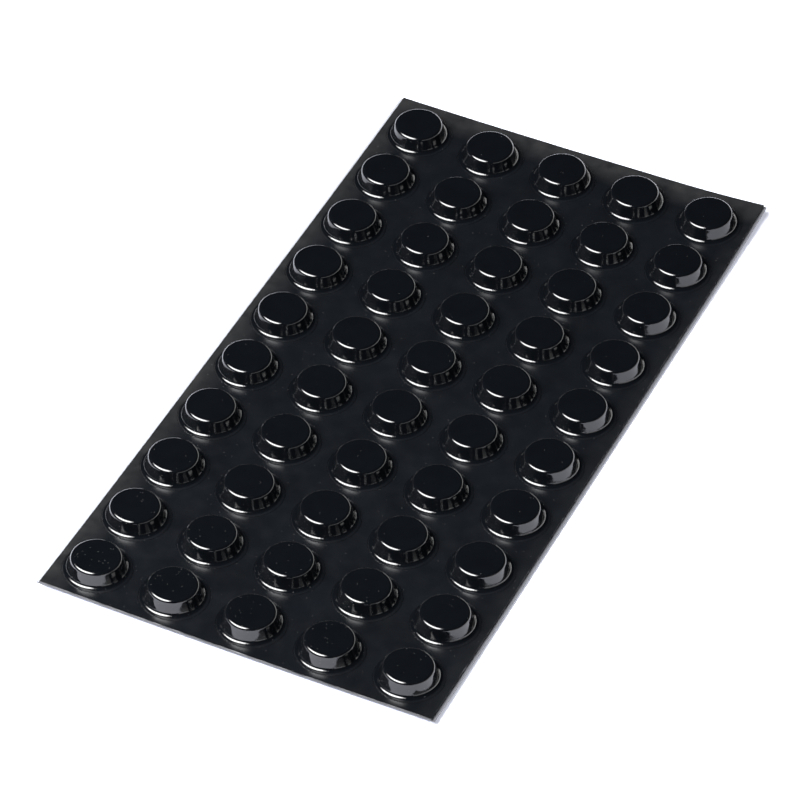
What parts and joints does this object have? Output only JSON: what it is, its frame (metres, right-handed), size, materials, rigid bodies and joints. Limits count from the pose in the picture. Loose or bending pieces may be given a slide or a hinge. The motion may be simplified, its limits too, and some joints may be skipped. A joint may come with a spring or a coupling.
{
  "type": "studded stomp pad sheet",
  "caption": "Sheet of round self-adhesive rubber studs, kiss-cut in a thin web on a peel-off liner, stuck to a snowboard deck as a stomp pad.",
  "frame": {"origin": "centre of the release liner's underside", "axes": "+X across the five columns of studs, from column 1 to column 5; +Y along the sheet, from row 10 to row 1; +Z from the liner up to the stud tops"},
  "size_m": [0.084, 0.1614, 0.0038],
  "materials": {
    "stud_rubber": "glossy",
    "web_rubber": "satin",
    "adhesive": "tacky, milky",
    "liner_paper": "silicone-coated"
  },
  "bodies": {
    "liner": {"release_liner": "liner_paper"},
    "web": {"web": "web_rubber", "web_adhesive": "adhesive"},
    "stud_row01_col1": {"stud_row01_col1": "stud_rubber"},
    "stud_row01_col2": {"stud_row01_col2": "stud_rubber"},
    "stud_row01_col3": {"stud_row01_col3": "stud_rubber"},
    "stud_row01_col4": {"stud_row01_col4": "stud_rubber"},
    "stud_row01_col5": {"stud_row01_col5": "stud_rubber"},
    "stud_row02_col1": {"stud_row02_col1": "stud_rubber"},
    "stud_row02_col2": {"stud_row02_col2": "stud_rubber"},
    "stud_row02_col3": {"stud_row02_col3": "stud_rubber"},
    "stud_row02_col4": {"stud_row02_col4": "stud_rubber"},
    "stud_row02_col5": {"stud_row02_col5": "stud_rubber"},
    "stud_row03_col1": {"stud_row03_col1": "stud_rubber"},
    "stud_row03_col2": {"stud_row03_col2": "stud_rubber"},
    "stud_row03_col3": {"stud_row03_col3": "stud_rubber"},
    "stud_row03_col4": {"stud_row03_col4": "stud_rubber"},
    "stud_row03_col5": {"stud_row03_col5": "stud_rubber"},
    "stud_row04_col1": {"stud_row04_col1": "stud_rubber"},
    "stud_row04_col2": {"stud_row04_col2": "stud_rubber"},
    "stud_row04_col3": {"stud_row04_col3": "stud_rubber"},
    "stud_row04_col4": {"stud_row04_col4": "stud_rubber"},
    "stud_row04_col5": {"stud_row04_col5": "stud_rubber"},
    "stud_row05_col1": {"stud_row05_col1": "stud_rubber"},
    "stud_row05_col2": {"stud_row05_col2": "stud_rubber"},
    "stud_row05_col3": {"stud_row05_col3": "stud_rubber"},
    "stud_row05_col4": {"stud_row05_col4": "stud_rubber"},
    "stud_row05_col5": {"stud_row05_col5": "stud_rubber"},
    "stud_row06_col1": {"stud_row06_col1": "stud_rubber"},
    "stud_row06_col2": {"stud_row06_col2": "stud_rubber"},
    "stud_row06_col3": {"stud_row06_col3": "stud_rubber"},
    "stud_row06_col4": {"stud_row06_col4": "stud_rubber"},
    "stud_row06_col5": {"stud_row06_col5": "stud_rubber"},
    "stud_row07_col1": {"stud_row07_col1": "stud_rubber"},
    "stud_row07_col2": {"stud_row07_col2": "stud_rubber"},
    "stud_row07_col3": {"stud_row07_col3": "stud_rubber"},
    "stud_row07_col4": {"stud_row07_col4": "stud_rubber"},
    "stud_row07_col5": {"stud_row07_col5": "stud_rubber"},
    "stud_row08_col1": {"stud_row08_col1": "stud_rubber"},
    "stud_row08_col2": {"stud_row08_col2": "stud_rubber"},
    "stud_row08_col3": {"stud_row08_col3": "stud_rubber"},
    "stud_row08_col4": {"stud_row08_col4": "stud_rubber"},
    "stud_row08_col5": {"stud_row08_col5": "stud_rubber"},
    "stud_row09_col1": {"stud_row09_col1": "stud_rubber"},
    "stud_row09_col2": {"stud_row09_col2": "stud_rubber"},
    "stud_row09_col3": {"stud_row09_col3": "stud_rubber"},
    "stud_row09_col4": {"stud_row09_col4": "stud_rubber"},
    "stud_row09_col5": {"stud_row09_col5": "stud_rubber"},
    "stud_row10_col1": {"stud_row10_col1": "stud_rubber"},
    "stud_row10_col2": {"stud_row10_col2": "stud_rubber"},
    "stud_row10_col3": {"stud_row10_col3": "stud_rubber"},
    "stud_row10_col4": {"stud_row10_col4": "stud_rubber"},
    "stud_row10_col5": {"stud_row10_col5": "stud_rubber"}
  },
  "joints": [
    {"name": "peel_web", "type": "slide", "parent": "liner", "child": "web", "axis": [0, 0, 1], "range_m": [0, 0.02]},
    {"name": "peel_stud_row01_col1", "type": "slide", "parent": "liner", "child": "stud_row01_col1", "axis": [0, 0, 1], "range_m": [0, 0.012]},
    {"name": "peel_stud_row01_col2", "type": "slide", "parent": "liner", "child": "stud_row01_col2", "axis": [0, 0, 1], "range_m": [0, 0.012]},
    {"name": "peel_stud_row01_col3", "type": "slide", "parent": "liner", "child": "stud_row01_col3", "axis": [0, 0, 1], "range_m": [0, 0.012]},
    {"name": "peel_stud_row01_col4", "type": "slide", "parent": "liner", "child": "stud_row01_col4", "axis": [0, 0, 1], "range_m": [0, 0.012]},
    {"name": "peel_stud_row01_col5", "type": "slide", "parent": "liner", "child": "stud_row01_col5", "axis": [0, 0, 1], "range_m": [0, 0.012]},
    {"name": "peel_stud_row02_col1", "type": "slide", "parent": "liner", "child": "stud_row02_col1", "axis": [0, 0, 1], "range_m": [0, 0.012]},
    {"name": "peel_stud_row02_col2", "type": "slide", "parent": "liner", "child": "stud_row02_col2", "axis": [0, 0, 1], "range_m": [0, 0.012]},
    {"name": "peel_stud_row02_col3", "type": "slide", "parent": "liner", "child": "stud_row02_col3", "axis": [0, 0, 1], "range_m": [0, 0.012]},
    {"name": "peel_stud_row02_col4", "type": "slide", "parent": "liner", "child": "stud_row02_col4", "axis": [0, 0, 1], "range_m": [0, 0.012]},
    {"name": "peel_stud_row02_col5", "type": "slide", "parent": "liner", "child": "stud_row02_col5", "axis": [0, 0, 1], "range_m": [0, 0.012]},
    {"name": "peel_stud_row03_col1", "type": "slide", "parent": "liner", "child": "stud_row03_col1", "axis": [0, 0, 1], "range_m": [0, 0.012]},
    {"name": "peel_stud_row03_col2", "type": "slide", "parent": "liner", "child": "stud_row03_col2", "axis": [0, 0, 1], "range_m": [0, 0.012]},
    {"name": "peel_stud_row03_col3", "type": "slide", "parent": "liner", "child": "stud_row03_col3", "axis": [0, 0, 1], "range_m": [0, 0.012]},
    {"name": "peel_stud_row03_col4", "type": "slide", "parent": "liner", "child": "stud_row03_col4", "axis": [0, 0, 1], "range_m": [0, 0.012]},
    {"name": "peel_stud_row03_col5", "type": "slide", "parent": "liner", "child": "stud_row03_col5", "axis": [0, 0, 1], "range_m": [0, 0.012]},
    {"name": "peel_stud_row04_col1", "type": "slide", "parent": "liner", "child": "stud_row04_col1", "axis": [0, 0, 1], "range_m": [0, 0.012]},
    {"name": "peel_stud_row04_col2", "type": "slide", "parent": "liner", "child": "stud_row04_col2", "axis": [0, 0, 1], "range_m": [0, 0.012]},
    {"name": "peel_stud_row04_col3", "type": "slide", "parent": "liner", "child": "stud_row04_col3", "axis": [0, 0, 1], "range_m": [0, 0.012]},
    {"name": "peel_stud_row04_col4", "type": "slide", "parent": "liner", "child": "stud_row04_col4", "axis": [0, 0, 1], "range_m": [0, 0.012]},
    {"name": "peel_stud_row04_col5", "type": "slide", "parent": "liner", "child": "stud_row04_col5", "axis": [0, 0, 1], "range_m": [0, 0.012]},
    {"name": "peel_stud_row05_col1", "type": "slide", "parent": "liner", "child": "stud_row05_col1", "axis": [0, 0, 1], "range_m": [0, 0.012]},
    {"name": "peel_stud_row05_col2", "type": "slide", "parent": "liner", "child": "stud_row05_col2", "axis": [0, 0, 1], "range_m": [0, 0.012]},
    {"name": "peel_stud_row05_col3", "type": "slide", "parent": "liner", "child": "stud_row05_col3", "axis": [0, 0, 1], "range_m": [0, 0.012]},
    {"name": "peel_stud_row05_col4", "type": "slide", "parent": "liner", "child": "stud_row05_col4", "axis": [0, 0, 1], "range_m": [0, 0.012]},
    {"name": "peel_stud_row05_col5", "type": "slide", "parent": "liner", "child": "stud_row05_col5", "axis": [0, 0, 1], "range_m": [0, 0.012]},
    {"name": "peel_stud_row06_col1", "type": "slide", "parent": "liner", "child": "stud_row06_col1", "axis": [0, 0, 1], "range_m": [0, 0.012]},
    {"name": "peel_stud_row06_col2", "type": "slide", "parent": "liner", "child": "stud_row06_col2", "axis": [0, 0, 1], "range_m": [0, 0.012]},
    {"name": "peel_stud_row06_col3", "type": "slide", "parent": "liner", "child": "stud_row06_col3", "axis": [0, 0, 1], "range_m": [0, 0.012]},
    {"name": "peel_stud_row06_col4", "type": "slide", "parent": "liner", "child": "stud_row06_col4", "axis": [0, 0, 1], "range_m": [0, 0.012]},
    {"name": "peel_stud_row06_col5", "type": "slide", "parent": "liner", "child": "stud_row06_col5", "axis": [0, 0, 1], "range_m": [0, 0.012]},
    {"name": "peel_stud_row07_col1", "type": "slide", "parent": "liner", "child": "stud_row07_col1", "axis": [0, 0, 1], "range_m": [0, 0.012]},
    {"name": "peel_stud_row07_col2", "type": "slide", "parent": "liner", "child": "stud_row07_col2", "axis": [0, 0, 1], "range_m": [0, 0.012]},
    {"name": "peel_stud_row07_col3", "type": "slide", "parent": "liner", "child": "stud_row07_col3", "axis": [0, 0, 1], "range_m": [0, 0.012]},
    {"name": "peel_stud_row07_col4", "type": "slide", "parent": "liner", "child": "stud_row07_col4", "axis": [0, 0, 1], "range_m": [0, 0.012]},
    {"name": "peel_stud_row07_col5", "type": "slide", "parent": "liner", "child": "stud_row07_col5", "axis": [0, 0, 1], "range_m": [0, 0.012]},
    {"name": "peel_stud_row08_col1", "type": "slide", "parent": "liner", "child": "stud_row08_col1", "axis": [0, 0, 1], "range_m": [0, 0.012]},
    {"name": "peel_stud_row08_col2", "type": "slide", "parent": "liner", "child": "stud_row08_col2", "axis": [0, 0, 1], "range_m": [0, 0.012]},
    {"name": "peel_stud_row08_col3", "type": "slide", "parent": "liner", "child": "stud_row08_col3", "axis": [0, 0, 1], "range_m": [0, 0.012]},
    {"name": "peel_stud_row08_col4", "type": "slide", "parent": "liner", "child": "stud_row08_col4", "axis": [0, 0, 1], "range_m": [0, 0.012]},
    {"name": "peel_stud_row08_col5", "type": "slide", "parent": "liner", "child": "stud_row08_col5", "axis": [0, 0, 1], "range_m": [0, 0.012]},
    {"name": "peel_stud_row09_col1", "type": "slide", "parent": "liner", "child": "stud_row09_col1", "axis": [0, 0, 1], "range_m": [0, 0.012]},
    {"name": "peel_stud_row09_col2", "type": "slide", "parent": "liner", "child": "stud_row09_col2", "axis": [0, 0, 1], "range_m": [0, 0.012]},
    {"name": "peel_stud_row09_col3", "type": "slide", "parent": "liner", "child": "stud_row09_col3", "axis": [0, 0, 1], "range_m": [0, 0.012]},
    {"name": "peel_stud_row09_col4", "type": "slide", "parent": "liner", "child": "stud_row09_col4", "axis": [0, 0, 1], "range_m": [0, 0.012]},
    {"name": "peel_stud_row09_col5", "type": "slide", "parent": "liner", "child": "stud_row09_col5", "axis": [0, 0, 1], "range_m": [0, 0.012]},
    {"name": "peel_stud_row10_col1", "type": "slide", "parent": "liner", "child": "stud_row10_col1", "axis": [0, 0, 1], "range_m": [0, 0.012]},
    {"name": "peel_stud_row10_col2", "type": "slide", "parent": "liner", "child": "stud_row10_col2", "axis": [0, 0, 1], "range_m": [0, 0.012]},
    {"name": "peel_stud_row10_col3", "type": "slide", "parent": "liner", "child": "stud_row10_col3", "axis": [0, 0, 1], "range_m": [0, 0.012]},
    {"name": "peel_stud_row10_col4", "type": "slide", "parent": "liner", "child": "stud_row10_col4", "axis": [0, 0, 1], "range_m": [0, 0.012]},
    {"name": "peel_stud_row10_col5", "type": "slide", "parent": "liner", "child": "stud_row10_col5", "axis": [0, 0, 1], "range_m": [0, 0.012]}
  ]
}
